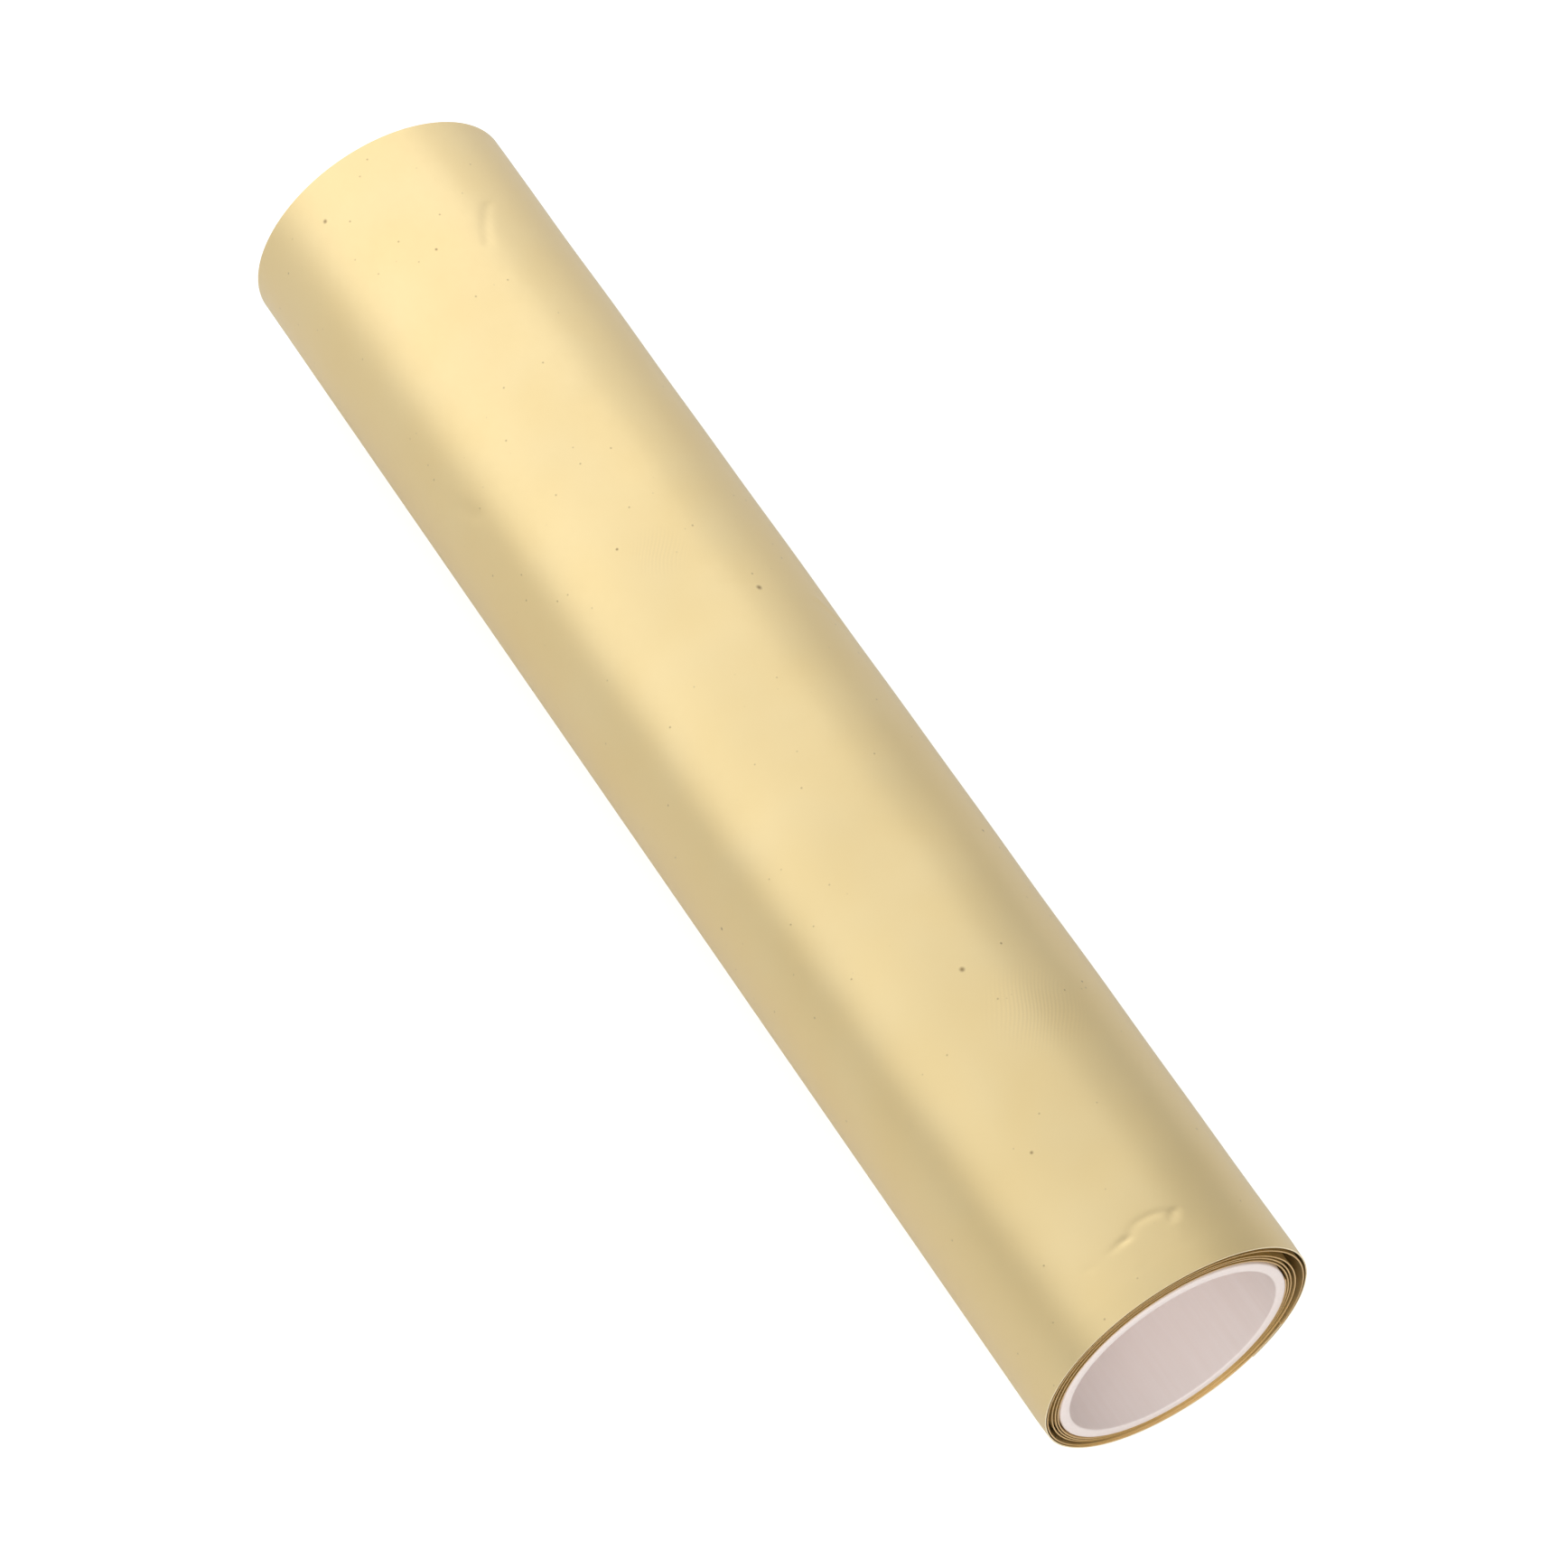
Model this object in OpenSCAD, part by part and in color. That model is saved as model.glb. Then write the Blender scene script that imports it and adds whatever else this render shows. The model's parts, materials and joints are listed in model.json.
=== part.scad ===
// Small roll of metallised sign vinyl, lying on its side.
// A web of two plies, the face film outside and its release liner inside, is wound on a
// plain plastic core. The winding is slack: its laps lie on each other below the core and
// stand apart above it. The last stretch of the web is free and lifts off the lap below,
// and the face film peels off the liner from its cut edge.
// The core's axis is X and its middle is the origin. Y and Z are across it, Z is up.
// Angles are in degrees about X, from +Y towards +Z. Seen from +X the web winds clockwise.

/* [Core] */
// Bore of the core tube
core_bore = 46; // [38:0.5:76]
// Wall of the core tube
core_wall = 2.2; // [1:0.1:6]
// How far each end of the core sits back from the edges of the web
core_inset = 1; // [0:0.1:10]

/* [Web] */
// Width of the web, along the roll
web_width = 305; // [100:1:620]
// Thickness of the vinyl face film with its adhesive coat
film_thick = 0.13; // [0.1:0.01:0.3]
// Thickness of the release liner
liner_thick = 0.12; // [0.1:0.01:0.3]

/* [Winding] */
// Number of whole laps on the core
laps = 5; // [2:1:12]
// Air between one lap and the next below the core
tight_gap = 0.05; // [0.03:0.01:0.2]
// Air between one lap and the next above the core
slack_gap = 1.15; // [0.2:0.05:2]
// Air between the core and the first lap above the core
first_gap = 0.85; // [0.8:0.05:3]
// Angle of the web's inner end, where the winding starts
start_angle = 10; // [-30:1:30]

/* [Starting tape] */
// Width of the double-sided tape that holds the web's inner end on the core
tape_width = 19; // [10:1:25]
// Thickness of the tape
tape_thick = 0.1; // [0.05:0.01:0.2]
// How far each end of the tape stops short of the edges of the web
tape_inset = 8; // [2:1:30]

/* [Free end] */
// Angle of the fold line where the free end starts to lift
lift_angle = 10; // [-5:1:15]
// Angle of the fold line where the face film starts to peel off the liner
peel_angle = -15; // [-25:1:-10]
// Angle of the web's outer cut edge
edge_angle = -50; // [-70:1:-40]

/* [Hidden] */
$fn = 180;
core_radius = core_bore / 2 + core_wall;
web_thick = liner_thick + film_thick;
// Inner radius of the web on its first pass below the core, and its growth with each lap
first_low = core_radius + tape_thick;
low_pitch = web_thick + tight_gap;
// The same above the core
first_high = core_radius + first_gap;
high_pitch = web_thick + slack_gap;
last = laps - 1;
half_turn = 180;
tape_sweep = tape_width / (core_radius + tape_thick / 2) * 180 / PI;

// Height of the web's inner face below and above the core's axis on pass number n
function low(n) = first_low + n * low_pitch;
function high(n) = first_high + n * high_pitch;

// Turns a shape built along Z, with angles from +X, to lie along X with angles from +Y
module along_x() {
    rotate([90, 0, 90])
        children();
}

// A curved strip of the given width, centred on the middle of the roll
module strip(inner, thick, width, from, sweep) {
    rotate_extrude(angle = sweep, start = from)
        translate([inner, -width / 2])
            square([thick, width]);
}

// The start of the first lap, from the web's inner end down to the lowest line of the core
module first_stretch(depth, thick) {
    strip(first_low + depth, thick, web_width, -90, start_angle + 90);
}

// Half a turn at Y < 0, from the lowest line up to the highest
module rising_half(n, depth, thick) {
    translate([0, (high(n) - low(n)) / 2])
        strip((high(n) + low(n)) / 2 + depth, thick, web_width, 90, half_turn);
}

// Part of the half turn at Y > 0 that leads from the highest line down to the lowest
module falling_part(n, depth, thick, from, to) {
    translate([0, (high(n) - low(n + 1)) / 2])
        strip((high(n) + low(n + 1)) / 2 + depth, thick, web_width, from, to - from);
}

// One ply of the wound web: depth is how far it lies outside the web's inner face
module wound_ply(depth, thick) {
    first_stretch(depth, thick);
    for (n = [0 : last])
        rising_half(n, depth, thick);
    for (n = [0 : last - 1])
        falling_part(n, depth, thick, -90, 90);
    falling_part(last, depth, thick, lift_angle, 90);
}

// Plain white plastic tube
module core_tube() {
    color("#E8E2E2")
        along_x()
            translate([0, 0, core_inset - web_width / 2])
                difference() {
                    cylinder(h = web_width - 2 * core_inset, r = core_radius);
                    translate([0, 0, -1])
                        cylinder(h = web_width + 2, d = core_bore);
                }
}

// Strip of double-sided tape between the core and the web's inner end
module starting_tape() {
    color("#EFE9D8")
        along_x()
            strip(
                core_radius, tape_thick, web_width - 2 * tape_inset,
                start_angle - tape_sweep, tape_sweep
            );
}

// Inner ply of the wound web
module release_liner() {
    color("#B98F4A")
        along_x()
            wound_ply(0, liner_thick);
}

// Outer ply of the wound web
module face_film() {
    color("#DCC48A")
        along_x()
            wound_ply(liner_thick, film_thick);
}

// Inner ply of the free end, from the first fold line to the cut edge
module loose_liner() {
    color("#B98F4A")
        along_x()
            falling_part(last, 0, liner_thick, edge_angle, lift_angle);
}

// Outer ply of the free end between the two fold lines
module loose_film() {
    color("#DCC48A")
        along_x()
            falling_part(last, liner_thick, film_thick, peel_angle, lift_angle);
}

// Outer ply of the free end from the second fold line to the cut edge
module peeling_film() {
    color("#E6D19A")
        along_x()
            falling_part(last, liner_thick, film_thick, edge_angle, peel_angle);
}

core_tube();
starting_tape();
release_liner();
face_film();
loose_liner();
loose_film();
peeling_film();
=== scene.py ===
# A small roll of satin gold sign vinyl: a web of film and liner wound slack on a plastic core.
# Metres, Z up. The core lies along X with its middle at the origin, and angles run from +Y towards +Z.
import bpy
import json
import math
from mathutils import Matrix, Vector


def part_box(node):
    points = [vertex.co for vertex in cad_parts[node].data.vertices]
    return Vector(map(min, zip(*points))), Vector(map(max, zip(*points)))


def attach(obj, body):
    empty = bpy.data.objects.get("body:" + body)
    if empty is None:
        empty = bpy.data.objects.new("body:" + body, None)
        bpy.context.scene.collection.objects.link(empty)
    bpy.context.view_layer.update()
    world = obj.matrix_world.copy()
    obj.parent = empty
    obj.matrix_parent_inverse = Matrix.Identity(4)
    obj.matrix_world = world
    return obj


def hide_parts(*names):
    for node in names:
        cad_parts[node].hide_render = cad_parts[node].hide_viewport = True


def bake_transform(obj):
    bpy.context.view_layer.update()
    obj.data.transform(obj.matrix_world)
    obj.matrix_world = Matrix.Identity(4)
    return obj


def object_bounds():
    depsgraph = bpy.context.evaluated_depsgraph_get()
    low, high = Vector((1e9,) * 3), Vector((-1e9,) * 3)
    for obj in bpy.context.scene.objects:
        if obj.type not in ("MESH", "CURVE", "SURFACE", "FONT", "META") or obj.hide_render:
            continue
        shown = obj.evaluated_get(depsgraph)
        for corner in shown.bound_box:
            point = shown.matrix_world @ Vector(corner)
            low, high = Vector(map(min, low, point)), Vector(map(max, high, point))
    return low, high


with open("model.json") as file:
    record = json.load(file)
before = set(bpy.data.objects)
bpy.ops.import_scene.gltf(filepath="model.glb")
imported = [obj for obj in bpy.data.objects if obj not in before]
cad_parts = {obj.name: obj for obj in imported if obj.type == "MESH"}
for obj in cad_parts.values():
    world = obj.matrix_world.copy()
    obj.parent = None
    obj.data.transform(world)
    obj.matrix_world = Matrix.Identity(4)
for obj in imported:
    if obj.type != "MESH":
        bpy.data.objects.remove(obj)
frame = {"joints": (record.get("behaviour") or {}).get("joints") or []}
cadLow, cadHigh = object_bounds()
mm = 0.001


def linearColour(hexText):
    # sRGB hex to the linear values that shaders use
    values = [int(hexText[i:i + 2], 16) / 255 for i in (0, 2, 4)]
    return (*[v / 12.92 if v <= 0.04045 else ((v + 0.055) / 1.055) ** 2.4 for v in values], 1)


def addNode(tree, kind, settings=None, links=None):
    # A node with its settings, its sockets' values and what feeds them
    node = tree.nodes.new(kind)
    for name, value in (settings or {}).items():
        if isinstance(name, int) or name in node.inputs:
            node.inputs[name].default_value = value
        else:
            setattr(node, name, value)
    for name, source in (links or {}).items():
        tree.links.new(source, node.inputs[name])
    return node


def newMaterial(name):
    material = bpy.data.materials.new(name)
    material.use_nodes = True
    material.node_tree.nodes.clear()
    return material


def finishMaterial(material, shader):
    addNode(material.node_tree, "ShaderNodeOutputMaterial", links={"Surface": shader.outputs[0]})
    return material


def clearSelection():
    if bpy.context.mode != "OBJECT":
        bpy.ops.object.mode_set(mode="OBJECT")
    bpy.ops.object.select_all(action="DESELECT")


def selectOnly(piece):
    clearSelection()
    piece.select_set(True)
    bpy.context.view_layer.objects.active = piece


def applyModifier(piece, kind, settings):
    modifier = piece.modifiers.new(kind.title(), kind)
    for name, value in settings.items():
        setattr(modifier, name, value)
    bpy.ops.object.modifier_apply(modifier=modifier.name)


def smoothStep(value):
    # 0 up to 0, 1 from 1 on, and an even curve between
    value = min(max(value, 0), 1)
    return value * value * (3 - 2 * value)


cameraSettings = {
    "azimuth": 58.93,       # round the roll, 0 looks along +Y
    "elevation": 58.36,
    "distance": 1.386,
    "aimHeight": 0.0026,    # middle of the wound film, above the core's axis
    "slideRight": 0.00486,
    "slideUp": -0.00499,
    "lens": 160.7,          # mm
    "sensor": 36,           # mm
    "seesTo": 50,
}


def placeCamera(s):
    azimuth = math.radians(s["azimuth"])
    elevation = math.radians(s["elevation"])
    back = Vector((
        math.sin(azimuth) * math.cos(elevation),
        -math.cos(azimuth) * math.cos(elevation),
        math.sin(elevation),
    ))
    right = Vector((math.cos(azimuth), math.sin(azimuth), 0))
    up = back.cross(right)
    place = Vector((0, 0, s["aimHeight"])) + s["distance"] * back
    place += s["slideRight"] * right + s["slideUp"] * up
    bpy.ops.object.camera_add(location=place, rotation=back.to_track_quat("Z", "Y").to_euler())
    camera = bpy.context.object
    camera.name = "camera"
    camera.data.lens = s["lens"]
    camera.data.sensor_width = s["sensor"]
    camera.data.clip_end = s["seesTo"]
    bpy.context.scene.camera = camera


stage = {
    "floorSize": 8,
    "floorSquares": 8,       # along each side
    "floorColour": "E3E2E0",
    "paleGlow": 0.62,        # lifts the floor to near white where the camera sees it
    "surroundings": 0.39,    # brightness of the room around
}

# Each softbox: its middle, its tilt about X and Y in degrees (untilted it shines straight down),
# its width and length, and how bright it is
softboxes = {
    "overheadSoftbox": {
        "place": (-0.36, -0.12, 0.58), "tilt": (13, -33), "size": (0.8, 1.9), "brightness": 0.45,
    },
    "farWallSoftbox": {
        "place": (-0.50, 0.10, 0.28), "tilt": (0, -78), "size": (0.7, 2.0), "brightness": 0.47,
    },
    "nearFillSoftbox": {
        "place": (0.75, -0.22, 0.42), "tilt": (13, 61), "size": (0.7, 0.9), "brightness": 2.1,
    },
}


def layFloor(s, height):
    clearSelection()
    bpy.ops.mesh.primitive_grid_add(
        x_subdivisions=s["floorSquares"], y_subdivisions=s["floorSquares"], size=s["floorSize"],
        location=(0, 0, height),
    )
    floor = bpy.context.object
    floor.name = "floor"
    bpy.ops.object.transform_apply(location=True)
    material = newMaterial("matteWhitePaper")   # seamless studio paper: even, no gloss
    tree = material.node_tree
    paper = addNode(tree, "ShaderNodeBsdfDiffuse", {"Color": linearColour(s["floorColour"])})
    seen = addNode(tree, "ShaderNodeLightPath")
    glow = addNode(tree, "ShaderNodeMapRange", {"To Max": s["paleGlow"]},
                   {"Value": seen.outputs["Is Camera Ray"]})
    light = addNode(tree, "ShaderNodeEmission", {"Color": (1, 1, 1, 1)}, {"Strength": glow.outputs[0]})
    both = addNode(tree, "ShaderNodeAddShader", {}, {0: paper.outputs[0], 1: light.outputs[0]})
    floor.data.materials.append(finishMaterial(material, both))


def hangSoftbox(name, s):
    turn = [math.radians(angle) for angle in s["tilt"]]
    bpy.ops.object.light_add(type="AREA", location=s["place"], rotation=(*turn, 0))
    softbox = bpy.context.object
    softbox.name = name
    softbox.data.shape = "RECTANGLE"
    softbox.data.size, softbox.data.size_y = s["size"]
    softbox.data.energy = s["brightness"] * math.pi * s["size"][0] * s["size"][1]
    softbox.visible_camera = False


def lightRoom(s):
    world = bpy.data.worlds.new("room")
    bpy.context.scene.world = world
    world.use_nodes = True
    tree = world.node_tree
    tree.nodes.clear()
    seen = addNode(tree, "ShaderNodeLightPath")
    level = addNode(tree, "ShaderNodeMapRange", {"To Min": s["surroundings"], "To Max": 1.0},
                    {"Value": seen.outputs["Is Camera Ray"]})
    air = addNode(tree, "ShaderNodeBackground", {"Color": (1, 1, 1, 1)}, {"Strength": level.outputs[0]})
    addNode(tree, "ShaderNodeOutputWorld", links={"Surface": air.outputs[0]})
    for name, box in softboxes.items():
        hangSoftbox(name, box)
    bpy.context.scene.view_settings.view_transform = "Standard"


placeCamera(cameraSettings)
layFloor(stage, cadLow.z)
lightRoom(stage)
print("camera, floor and lights stand")


satinGold = {
    "colour": "FBE1A2",
    "paler": "FDE7B0",
    "roughness": (0.40, 0.48),
    "coat": 1.0,             # the clear satin top coat
    "coatRoughness": 0.38,
    "coatIor": 1.5,
    "wavePitch": 16,         # mm, slow unevenness of the film
    "waveHeight": 0.12,      # mm, as are the other heights here
    "peelPitch": 1.6,        # mm, orange peel of the coating
    "peelHeight": 0.004,
    "pimplePitch": 3.5,      # mm between the places that may hold a speck of dust under the film
    "pimpleSize": 0.1,       # radius as a share of the pitch
    "pimpleShare": 0.4,      # how many of the places hold one
    "pimpleHeight": 0.05,
    "specks": [              # mm along the roll, angle, radius in mm
        (-122.2, 95.5, 0.45), (-143.4, 125.5, 0.7), (-41.1, 105.8, 0.45), (75.7, 91.1, 0.85),
        (115.2, 109.5, 0.55), (33.2, 166.3, 0.5), (46.2, 38.9, 0.45), (73.9, 71.4, 0.4),
        (85.9, 46.1, 0.35), (-19.8, 66.1, 0.9),
    ],
    "speckHeight": 0.05,
    "smudges": [             # mm along the roll, angle, radius in mm, strength
        (89.7, 74.4, 13, 1.0), (-35.8, 92.7, 8, 0.5),
    ],
    "ridgePitch": 0.75,      # mm between the ridges of a finger mark
    "ridgeTurn": 58.9,       # degrees that they are turned from straight across the web
    "ridgeBend": 22.0,       # how far they wander from straight
    "bendScale": 0.12,       # how fine that wandering is
    "ridgeHeight": 0.006,
    "dirtColour": "7A5A2C",
    "speckDirt": 0.75,       # how much of the dirt colour each kind of mark takes
    "pimpleDirt": 0.45,
    "ridgeDirt": 0.10,
}
wavePeriod = 0.314           # from one band to the next in a wave texture at scale 1


def onFilm(along, angle):
    # A point on the outermost lap, from its place in mm along the roll and its angle
    centre, radius = risingArc(lastLap)
    radius += webThickness
    angle = math.radians(angle)
    return Vector((along * mm, radius * math.cos(angle), centre + radius * math.sin(angle)))


def makeSatinGold(s):
    # Metallised vinyl with a satin top coat: a broad soft gold sheen with dust specks and finger marks
    material = newMaterial("satinMetallisedVinyl")
    tree = material.node_tree
    place = addNode(tree, "ShaderNodeTexCoord").outputs["Object"]

    def noise(pitch, detail):
        settings = {"Scale": 1 / (pitch * mm), "Detail": detail}
        return addNode(tree, "ShaderNodeTexNoise", settings, {"Vector": place}).outputs[0]

    def combine(operation, first, second):
        return addNode(tree, "ShaderNodeMath", {"operation": operation}, {0: first, 1: second}).outputs[0]

    def scaled(value, factor):
        return addNode(tree, "ShaderNodeMath", {"operation": "MULTIPLY", 1: factor}, {0: value}).outputs[0]

    def within(away, radius):
        # 1 where the distance is 0, falling to 0 at the radius
        return addNode(tree, "ShaderNodeMapRange", {
            "interpolation_type": "SMOOTHSTEP", "From Min": 0.0, "From Max": radius,
            "To Min": 1.0, "To Max": 0.0,
        }, {"Value": away}).outputs[0]

    def spot(along, angle, radius):
        settings = {"operation": "DISTANCE", 1: onFilm(along, angle)}
        away = addNode(tree, "ShaderNodeVectorMath", settings, {0: place}).outputs["Value"]
        return within(away, radius * mm)

    def strongest(values):
        most = values[0]
        for value in values[1:]:
            most = combine("MAXIMUM", most, value)
        return most

    wave = noise(s["wavePitch"], 1.0)
    peel = noise(s["peelPitch"], 2.0)

    cells = addNode(tree, "ShaderNodeTexVoronoi", {"Scale": 1 / (s["pimplePitch"] * mm)}, {"Vector": place})
    bump = within(cells.outputs["Distance"], s["pimpleSize"])
    chosen = addNode(tree, "ShaderNodeSeparateColor", {}, {"Color": cells.outputs["Color"]}).outputs[0]
    settings = {"operation": "LESS_THAN", 1: s["pimpleShare"]}
    some = addNode(tree, "ShaderNodeMath", settings, {0: chosen}).outputs[0]
    pimples = combine("MULTIPLY", bump, some)

    dust = strongest([spot(*speck) for speck in s["specks"]])

    settings = {"Rotation": (0, 0, -math.radians(s["ridgeTurn"]))}
    turned = addNode(tree, "ShaderNodeMapping", settings, {"Vector": place})
    ridges = addNode(tree, "ShaderNodeTexWave", {
        "Scale": wavePeriod / (s["ridgePitch"] * mm), "Distortion": s["ridgeBend"],
        "Detail": 1.0, "Detail Scale": s["bendScale"],
    }, {"Vector": turned.outputs[0]}).outputs[1]
    marks = strongest([scaled(spot(*smudge[:3]), smudge[3]) for smudge in s["smudges"]])
    ridges = combine("MULTIPLY", ridges, marks)

    height = scaled(wave, s["waveHeight"] * mm)
    for value, name in ((peel, "peel"), (pimples, "pimple"), (dust, "speck"), (ridges, "ridge")):
        height = combine("ADD", height, scaled(value, s[name + "Height"] * mm))
    relief = addNode(tree, "ShaderNodeBump", {"Strength": 1.0, "Distance": 1.0}, {"Height": height})

    gold = addNode(tree, "ShaderNodeMix", {
        "data_type": "RGBA", 6: linearColour(s["colour"]), 7: linearColour(s["paler"]),
    }, {0: wave})
    dirt = strongest([
        scaled(pimples, s["pimpleDirt"]), scaled(ridges, s["ridgeDirt"]), scaled(dust, s["speckDirt"]),
    ])
    tinted = addNode(tree, "ShaderNodeMix", {"data_type": "RGBA", 7: linearColour(s["dirtColour"])},
                     {0: dirt, 6: gold.outputs[2]})
    smoothest, roughest = s["roughness"]
    rough = addNode(tree, "ShaderNodeMapRange", {"To Min": smoothest, "To Max": roughest}, {"Value": peel})
    shader = addNode(tree, "ShaderNodeBsdfPrincipled", {
        "Metallic": 1.0, "Coat Weight": s["coat"], "Coat Roughness": s["coatRoughness"],
        "Coat IOR": s["coatIor"],
    }, {
        "Base Color": tinted.outputs[2], "Roughness": rough.outputs[0], "Normal": relief.outputs[0],
    })
    return finishMaterial(material, shader)


# Pitch and relief are in mm
plainFinishes = {
    "cutVinylEdge": {        # slit vinyl: pale and matt where the blade went through the film's body
        "colour": "F8ECD0", "darker": "EBD6A8", "metallic": 0.0, "roughness": 0.5, "coat": 0.0,
        "pitch": 0.8, "relief": 0.01,
    },
    "cutLinerEdge": {        # cut edges of the inner laps, film and liner alike: amber is painted reflection and shade, the gold light bounced between the laps; glossy
        "colour": "E4BE7A", "darker": "CB9D55", "metallic": 0.3, "roughness": 0.3, "coat": 0.5,
        "pitch": 0.8, "relief": 0.01,
    },
    "adhesiveBack": {        # clear pressure-sensitive adhesive over the metal layer: glossy, a little milky
        "colour": "E3C78C", "darker": "D3B475", "metallic": 0.9, "roughness": 0.28, "coat": 0.6,
        "pitch": 3.0, "relief": 0.01,
    },
    "clearLiner": {          # clear release liner with the gold behind it: deeper gold under a gloss
        "colour": "FBE8BA", "darker": "F4DA9E", "metallic": 0.85, "roughness": 0.38, "coat": 0.5,
        "pitch": 9.0, "relief": 0.05,
    },
    "whiteCorePlastic": {    # extruded polystyrene tube: white, slightly warm, satin, faint lengthwise lines
        "colour": "F7ECE8", "darker": "F1E3DD", "metallic": 0.0, "roughness": 0.42, "coat": 0.0,
        "pitch": 1.2, "relief": 0.012, "stretch": (0.03, 1, 1),
    },
    "tissueTape": {          # double-sided tissue tape: milky, fibrous
        "colour": "EFE9D8", "darker": "DDD4BC", "metallic": 0.0, "roughness": 0.55, "coat": 0.2,
        "pitch": 0.9, "relief": 0.02, "stretch": (0.4, 1, 1),
    },
}
plainCoatRoughness = 0.12
roughnessSpread = 0.05       # how far the roughness swings each way with the grain


def makePlainFinish(name):
    s = plainFinishes[name]
    material = newMaterial(name)
    tree = material.node_tree
    place = addNode(tree, "ShaderNodeTexCoord").outputs["Object"]
    spread = addNode(tree, "ShaderNodeMapping", {"Scale": s.get("stretch", (1, 1, 1))}, {"Vector": place})
    grain = addNode(tree, "ShaderNodeTexNoise", {"Scale": 1 / (s["pitch"] * mm), "Detail": 3.0},
                    {"Vector": spread.outputs[0]})
    colour = addNode(tree, "ShaderNodeMix", {
        "data_type": "RGBA", 6: linearColour(s["darker"]), 7: linearColour(s["colour"]),
    }, {0: grain.outputs[0]})
    relief = addNode(tree, "ShaderNodeBump", {"Strength": 1.0, "Distance": s["relief"] * mm},
                     {"Height": grain.outputs[0]})
    rough = addNode(tree, "ShaderNodeMapRange", {
        "To Min": s["roughness"] - roughnessSpread, "To Max": s["roughness"] + roughnessSpread,
    }, {"Value": grain.outputs[0]})
    shader = addNode(tree, "ShaderNodeBsdfPrincipled", {
        "Metallic": s["metallic"], "Coat Weight": s["coat"], "Coat Roughness": plainCoatRoughness,
    }, {"Base Color": colour.outputs[2], "Roughness": rough.outputs[0], "Normal": relief.outputs[0]})
    return finishMaterial(material, shader)


winding = {
    "tapeThickness": 0.1 * mm,
    "linerThickness": 0.12 * mm,
    "filmThickness": 0.13 * mm,
    "gapBelow": 0.05 * mm,                      # between laps below the core
    "gapsAbove": (0.85, 0.60, 0.90, 2.20),      # mm, under each lap above the core but the outermost
    "innerEnd": 10,                             # angle where the web starts on the core
    "outerFrom": -30,                           # where the outermost, finely divided lap takes over
    "edgeAngle": -50,                           # the web's outer cut edge
    "foldReach": 6,                             # degrees before its fold line at which a free piece starts
    "innerStep": 3,                             # degrees from one line of vertices to the next
    "outerStep": 2,
}
webThickness = winding["linerThickness"] + winding["filmThickness"]
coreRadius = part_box("core_tube")[1].z
filmLow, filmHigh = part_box("face_film")
webWidth = filmHigh.x - filmLow.x
lastLap = len(winding["gapsAbove"])


def lowRadius(n):
    # Inner radius of lap n below the core, where the laps lie tight
    return coreRadius + winding["tapeThickness"] + n * (webThickness + winding["gapBelow"])


def highRadius(n):
    # Inner radius of lap n above the core, where they stand apart
    if n == lastLap:
        return filmHigh.z - webThickness
    return coreRadius + sum(winding["gapsAbove"][:n + 1]) * mm + n * webThickness


def risingArc(n):
    # Half a turn at Y < 0, from below the core to above it: height of its centre, and its radius
    return (highRadius(n) - lowRadius(n)) / 2, (highRadius(n) + lowRadius(n)) / 2


def fallingArc(n):
    # The half turn at Y > 0 that follows
    return (highRadius(n) - lowRadius(n + 1)) / 2, (highRadius(n) + lowRadius(n + 1)) / 2


risingArcs = [risingArc(n) for n in range(lastLap + 1)]
fallingArcs = [fallingArc(n) for n in range(lastLap + 1)]


def jointAngle(name):
    # Angle of a fold line about the centre of the outermost falling half
    place = [joint for joint in frame["joints"] if joint["name"] == name][0]["pos_m"]
    return math.degrees(math.atan2(place[2] - fallingArc(lastLap)[0], place[1]))


liftAngle = jointAngle("loose_end_lift")
peelAngle = jointAngle("film_peel")
woundEnd = liftAngle + winding["foldReach"]     # a free piece starts a little before its fold line
peelStart = peelAngle + winding["foldReach"]

# Each arc is its centre and radius, then its first and last angle
innerArcs = [(0, lowRadius(0), winding["innerEnd"], -90)]
for lap in range(lastLap):
    lapEnd = -90 if lap < lastLap - 1 else winding["outerFrom"]
    innerArcs.append((*risingArc(lap), -90, -270))
    innerArcs.append((*fallingArc(lap), 90, lapEnd))
outerArcs = [
    (*fallingArc(lastLap - 1), winding["outerFrom"], -90),
    (*risingArc(lastLap), -90, -270),
    (*fallingArc(lastLap), 90, woundEnd),
]
liftFilmArcs = [(*fallingArc(lastLap), woundEnd, peelStart)]
peelFilmArcs = [(*fallingArc(lastLap), peelStart, winding["edgeAngle"])]
looseLinerArcs = [(*fallingArc(lastLap), woundEnd, winding["edgeAngle"])]

# All in mm along the roll
rulings = {
    "coarse": 10.0,          # between lines of vertices, in the inner laps
    "middle": 3.0,           # in the outermost lap
    "fine": 0.45,            # beside its creases
    "fineZones": ((-131, -114), (-86, -64), (-21, -6), (135, 148)),
    "rim": 0.2,              # in the last stretch before the near end
    "rimFrom": 151.1,
}


def evenRulings(pitch):
    count = round(webWidth / (pitch * mm))
    return [webWidth * (i / count - 0.5) for i in range(count + 1)]


def pitchAt(here, s):
    if here >= s["rimFrom"]:
        return s["rim"]
    if any(low <= here < high for low, high in s["fineZones"]):
        return s["fine"]
    return s["middle"]


def denseRulings(s):
    # Close together beside the creases and at the rim, wider elsewhere, with no sliver at the end
    half = webWidth / 2 / mm
    starts = [low for low, high in s["fineZones"]] + [s["rimFrom"]]
    places = [-half]
    while places[-1] < half:
        here = places[-1]
        step = pitchAt(here, s)
        ahead = [low for low in starts if here < low < here + step]
        there = ahead[0] if ahead else here + step
        places.append(there if there < half - step / 2 else half)
    return [place * mm for place in places]


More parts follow.
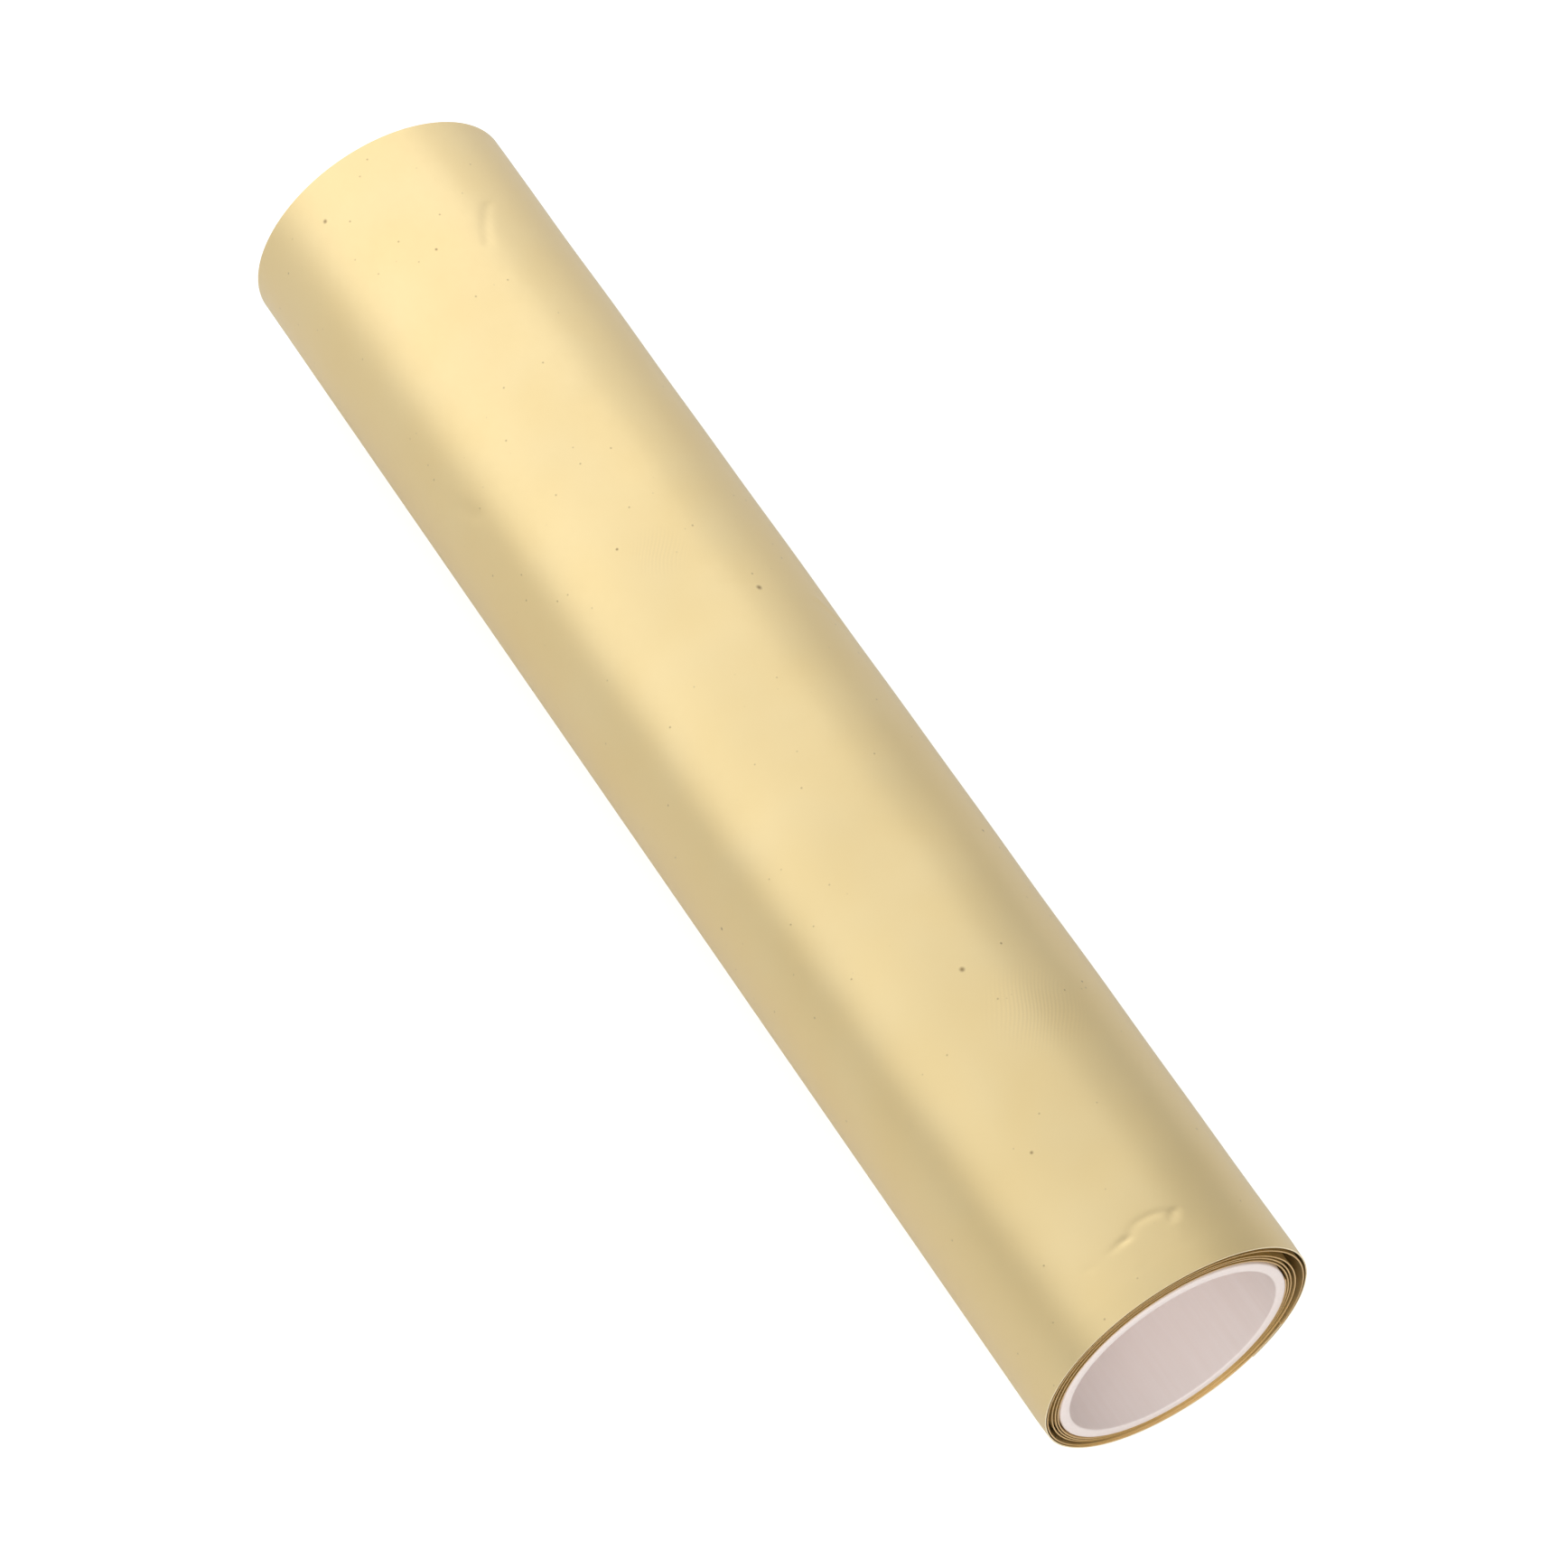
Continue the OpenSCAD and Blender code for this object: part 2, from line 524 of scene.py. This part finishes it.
def windSheet(name, places, depth, arcs, step):
    # A line of vertices along the roll, spun through the arcs one after the other
    centre, radius, first, last = arcs[0]
    clearSelection()
    angle = math.radians(first)
    radius += depth
    start = (places[0], radius * math.cos(angle), centre + radius * math.sin(angle))
    bpy.ops.mesh.primitive_plane_add(size=mm, location=start)
    piece = bpy.context.object
    piece.name = name
    bpy.ops.object.transform_apply(location=True)
    bpy.ops.object.mode_set(mode="EDIT")
    bpy.ops.mesh.select_mode(type="VERT")
    bpy.ops.mesh.select_all(action="SELECT")
    bpy.ops.mesh.merge(type="CENTER")
    for here, there in zip(places, places[1:]):
        bpy.ops.mesh.extrude_vertices_move(TRANSFORM_OT_translate={"value": (there - here, 0, 0)})
    bpy.ops.mesh.select_all(action="SELECT")
    for centre, radius, first, last in arcs:
        sweep = first - last
        bpy.ops.mesh.spin(
            steps=round(sweep / step), angle=math.radians(sweep), center=(0, 0, centre), axis=(1, 0, 0),
        )
    bpy.ops.mesh.select_all(action="SELECT")
    bpy.ops.object.mode_set(mode="OBJECT")
    face = piece.data.polygons[0]
    if face.normal.dot(face.center - Vector((face.center.x, 0, 0))) < 0:
        bpy.ops.object.mode_set(mode="EDIT")
        bpy.ops.mesh.flip_normals()
        bpy.ops.object.mode_set(mode="OBJECT")
    return piece


def turnsAt(place):
    # How many turns of web lie between its inner end and this place
    angle = math.degrees(math.atan2(place.z, place.y))
    sweep = winding["innerEnd"] - angle
    if place.y < 0:
        arcs = risingArcs
        sweep += 360 if angle > 0 else 0
    else:
        arcs = fallingArcs
        sweep += 360
    misses = [
        abs(math.hypot(place.y, place.z - centre) - radius - webThickness / 2)
        for centre, radius in arcs
    ]
    lap = misses.index(min(misses))
    if place.y >= 0 and abs(place.yz.length - lowRadius(0)) < min(misses):
        lap = -1    # the first stretch, before the web has gone round once
    return lap + sweep / 360


leastWeight = 0.001          # a vertex with less than this stays where it is


def pushVertices(piece, strength, weightAt, direction="NORMAL"):
    # Moves each vertex along its normal, or along the roll, by the strength times its weight
    selectOnly(piece)
    group = piece.vertex_groups.new(name="push")
    for vertex in piece.data.vertices:
        weight = weightAt(vertex.co)
        if weight > leastWeight:
            group.add([vertex.index], weight, "REPLACE")
    applyModifier(piece, "DISPLACE", {
        "direction": direction, "strength": strength, "mid_level": 0.0, "vertex_group": "push",
    })
    piece.vertex_groups.clear()


# Turns are counted from the web's inner end. Angles inside the waves are in radians
slackness = {
    "telescoping": 0.9 * mm,     # how far the inner laps have slid along the core
    "steadyFrom": 4.1,           # turns from which the laps lie flush
    "slideOver": 1.8,            # turns that the slide takes to build up
    "slideUneven": 0.1,          # share of the slide that differs from turn to turn
    "slidePerTurn": 7.3,
    "slidePhase": 0.6,
    "waveInner": 0.30 * mm,      # how unevenly the inner laps stand apart
    "waveOuter": 0.16 * mm,      # slow waves in the outermost lap
    "waveLength": 62 * mm,
    "waveFade": 0.25,            # how far below the axis the waves die out, as a share of the core's radius
    "outerBefore": 0.35,         # turns before the outermost lap where its waves begin to take over
    "outerOver": 0.2,            # turns that this takes
    "swingPerTurn": 13,          # inner laps: how fast the gaps change round the roll
    "swingSway": 0.8,            # and how much that shifts along it
    "swingStretch": 0.5,
    "ripplePerTurn": 6.28,       # outermost lap: how its waves shift round the roll
    "rippleSway": 5,
    "ripplePhase": 0.7,
    "secondPerTurn": 21,         # a second, shorter wave over the first
    "secondStretch": 1.7,
    "lip": 0.12 * mm,            # how far the blade has turned the near rim in
    "lipReach": 0.6 * mm,
}


def loosenWeb(piece, s):
    # The small unevenness of a web wound by hand. It fades out below the core, where the laps lie tight
    inner = piece.name.startswith("inner")

    def aside(place):
        turns = turnsAt(place)
        uneven = math.sin(turns * s["slidePerTurn"] + s["slidePhase"])
        share = 1 - s["slideUneven"] + s["slideUneven"] * uneven
        return smoothStep((s["steadyFrom"] - turns) / s["slideOver"]) * share

    def wave(place):
        turns = turnsAt(place)
        fade = smoothStep(place.z / coreRadius + s["waveFade"])
        along = place.x / s["waveLength"] * 2 * math.pi
        outer = smoothStep((turns - lastLap + s["outerBefore"]) / s["outerOver"])
        sway = s["swingSway"] * math.sin(along * s["swingStretch"])
        swing = math.sin(turns * s["swingPerTurn"] + sway) * (1 - outer)
        shift = s["rippleSway"] * math.sin(turns * s["ripplePerTurn"] + s["ripplePhase"])
        second = math.sin(along * s["secondStretch"] + turns * s["secondPerTurn"])
        ripple = (math.sin(along + shift) + second) / 2 * outer
        return fade * (0.5 + 0.5 * (swing + ripple))

    def lip(place):
        return smoothStep((place.x - webWidth / 2) / s["lipReach"] + 1)

    pushVertices(piece, -s["telescoping"], aside, "X")
    pushVertices(piece, -s["waveInner"] if inner else -s["waveOuter"], wave)
    if not inner:
        pushVertices(piece, -s["lip"], lip)


# Each crease is a path of points (mm along the roll, angle), how deep it goes and how far it reaches, in mm
creases = {
    "rimArc": {
        "path": (
            (140.8, 106.4), (140.4, 101.7), (140.3, 99.7), (138.6, 93.5), (138.5, 87.0), (139.0, 82.3),
            (140.2, 78.9),
        ),
        "depth": 0.09, "reach": 1.0,
    },
    "rimPitA": {"path": ((140.4, 100.4), (140.4, 99.4)), "depth": 0.26, "reach": 0.8},
    "rimRidgeA": {"path": ((140.6, 99.6), (144.3, 100.3), (145.9, 100.9)), "depth": -0.05, "reach": 1.0},
    "rimPitB": {"path": ((139.6, 78.4), (140.6, 79.9), (141.5, 80.6)), "depth": 0.22, "reach": 0.7},
    "rimRidgeB": {"path": ((141.5, 80.6), (143.3, 81.0), (145.2, 81.9)), "depth": -0.04, "reach": 1.0},
    "rimNick": {"path": ((140.6, 118.3), (141.4, 115.3)), "depth": 0.05, "reach": 0.8},
    "crescent": {
        "path": (
            (-128.3, 64.5), (-126.2, 68.0), (-124.4, 70.2), (-122.7, 72.4), (-120.5, 74.4), (-118.6, 76.0),
        ),
        "depth": 0.20, "reach": 1.1,
    },
    "leftStreak": {
        "path": ((-82.1, 157.7), (-76.6, 155.0), (-73.0, 150.8), (-69.4, 146.2)),
        "depth": 0.16, "reach": 2.2,
    },
    "leftHollow": {"path": ((-66, 157), (-58, 156)), "depth": 0.15, "reach": 8.0},
    "sideBuckle": {"path": ((-16.4, 38), (-14.5, 33.5), (-11.5, 28)), "depth": -0.20, "reach": 1.6},
}
creaseSteepness = 2          # how quickly a crease's side falls away
creaseEnd = 2                # how many reaches away nothing of it is left


def distanceToStretch(point, a, b):
    along = b - a
    share = min(max((point - a).dot(along) / along.length_squared, 0), 1)
    return (point - a - share * along).length


def pressCrease(piece, crease, centre, radius):
    # The path on the unrolled web, in metres
    path = [Vector((x * mm, math.radians(t) * radius)) for x, t in crease["path"]]
    reach = crease["reach"] * mm
    left = min(point.x for point in path) - creaseEnd * reach
    right = max(point.x for point in path) + creaseEnd * reach

    def near(place):
        if place.z < 0 or not left < place.x < right:
            return 0
        here = Vector((place.x, math.atan2(place.z - centre, place.y) * radius))
        away = min(distanceToStretch(here, a, b) for a, b in zip(path, path[1:]))
        return math.exp(-creaseSteepness * (away / reach) ** 2) if away < creaseEnd * reach else 0

    pushVertices(piece, -crease["depth"] * mm, near)


facingLimit = 0.6            # how squarely a face looks outwards or inwards to be the sheet's face or back
smoothAngle = 40             # degrees between faces that are still shaded as one surface


def thickenSheet(piece, thickness, materials):
    # Thickens the ply outwards, then gives its face, back and cut edge their materials by where they look
    selectOnly(piece)
    applyModifier(piece, "SOLIDIFY", {"thickness": thickness, "offset": 1.0, "use_even_offset": True})
    for material in materials:
        piece.data.materials.append(material)
    for face in piece.data.polygons:
        outward = face.normal.dot(Vector((0, face.center.y, face.center.z)).normalized())
        face.material_index = 0 if outward > facingLimit else 1 if outward < -facingLimit else 2
    bpy.ops.object.shade_smooth_by_angle(angle=math.radians(smoothAngle))


satinVinyl = makeSatinGold(satinGold)
cutEdge = makePlainFinish("cutVinylEdge")
adhesive = makePlainFinish("adhesiveBack")
clearLiner = makePlainFinish("clearLiner")
# amber edge for the inner laps: painted reflection and shade of the gold light between the laps
paintedAmberInnerEdge = makePlainFinish("cutLinerEdge")
print("materials mixed")


def makePly(name, places, arcs, step, film, nodes):
    # One stretch of film, or of the liner inside it, with its unevenness, creases and thickness
    depth = winding["linerThickness"] if film else 0
    thickness = winding["filmThickness"] if film else winding["linerThickness"]
    piece = windSheet(name, places, depth, arcs, step)
    loosenWeb(piece, slackness)
    if name.startswith("outer"):
        centre, radius = risingArc(lastLap)
        for crease in creases.values():
            pressCrease(piece, crease, centre, radius + webThickness)
    # Inner laps take the amber edge with painted reflection and shade between the laps; the outer pieces
    # keep the plain cut edge
    edge = paintedAmberInnerEdge if name.startswith("inner") else cutEdge
    thickenSheet(piece, thickness, (satinVinyl, adhesive, edge) if film else (clearLiner, clearLiner, edge))
    if nodes:
        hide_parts(*nodes)
    print("wound", name, len(piece.data.polygons), "faces")
    return piece


outerPlaces = denseRulings(rulings)
innerPlaces = evenRulings(rulings["coarse"])
innerStep = winding["innerStep"]
outerStep = winding["outerStep"]

innerFilm = makePly("innerFilm", innerPlaces, innerArcs, innerStep, True, ["face_film"])
outerFilm = makePly("outerFilm", outerPlaces, outerArcs, outerStep, True, [])
innerLiner = makePly("innerLiner", innerPlaces, innerArcs, innerStep, False, ["release_liner"])
outerLiner = makePly("outerLiner", outerPlaces, outerArcs, outerStep, False, [])
for ply in (innerFilm, outerFilm, innerLiner, outerLiner):
    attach(ply, "roll")

liftFilm = makePly("liftFilm", outerPlaces, liftFilmArcs, outerStep, True, ["loose_film"])
peelFilm = makePly("peelFilm", outerPlaces, peelFilmArcs, outerStep, True, ["peeling_film"])
looseLiner = makePly("looseLiner", outerPlaces, looseLinerArcs, outerStep, False, ["loose_liner"])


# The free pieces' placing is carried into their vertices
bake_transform(liftFilm)
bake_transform(looseLiner)
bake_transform(peelFilm)


coreSettings = {
    "wall": 2.2 * mm,
    "sides": 180,
    "slid": 0.3 * mm,        # towards the near end
    "rimRound": 0.35 * mm,
    "rimSteps": 3,
    "roundedFrom": 50,       # degrees between faces whose edge is rounded
}


def makeCore(s):
    low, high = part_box("core_tube")
    clearSelection()
    bpy.ops.mesh.primitive_cylinder_add(
        vertices=s["sides"], radius=high.z - s["wall"], depth=high.x - low.x, end_fill_type="NOTHING",
        rotation=(0, math.pi / 2, 0), location=(s["slid"], 0, 0),
    )
    core = bpy.context.object
    core.name = "coreTube"
    bpy.ops.object.transform_apply(location=True, rotation=True)
    applyModifier(core, "SOLIDIFY", {"thickness": s["wall"], "offset": 1.0, "use_even_offset": True})
    applyModifier(core, "BEVEL", {
        "width": s["rimRound"], "segments": s["rimSteps"],
        "limit_method": "ANGLE", "angle_limit": math.radians(s["roundedFrom"]),
    })
    bpy.ops.object.shade_smooth_by_angle(angle=math.radians(smoothAngle))
    core.data.materials.append(makePlainFinish("whiteCorePlastic"))
    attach(core, "roll")
    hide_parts("core_tube")


makeCore(coreSettings)
print("core tube made")


tapeSettings = {
    "width": 19 * mm,        # round the core
    "stepsRound": 24,
    "stepsAlong": 30,
    "teeth": 1.2 * mm,       # depth of the saw-tooth ends that a dispenser leaves
    "endReach": 1 * mm,      # a vertex this close to an end is on it
}


def makeTape(s):
    low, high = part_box("starting_tape")
    count = s["stepsAlong"]
    places = [low.x + (high.x - low.x) * i / count for i in range(count + 1)]
    sweep = math.degrees(s["width"] / coreRadius)
    first = winding["innerEnd"]
    tape = windSheet(
        "startingTape", places, 0, [(0, coreRadius, first, first - sweep)], sweep / s["stepsRound"],
    )

    def everySecond(place):
        # 1 on every second line of vertices round the core, 0 on the others
        turned = math.degrees(math.atan2(place.z, place.y)) - first
        return round(turned / sweep * s["stepsRound"]) % 2

    def nearTeeth(place):
        return everySecond(place) if place.x > high.x - s["endReach"] else 0

    def farTeeth(place):
        return everySecond(place) if place.x < low.x + s["endReach"] else 0

    pushVertices(tape, -s["teeth"], nearTeeth, "X")
    pushVertices(tape, s["teeth"], farTeeth, "X")
    thickenSheet(tape, winding["tapeThickness"], [makePlainFinish("tissueTape")])
    for face in tape.data.polygons:
        face.material_index = 0
    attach(tape, "roll")
    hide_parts("starting_tape")


makeTape(tapeSettings)
print("starting tape made")
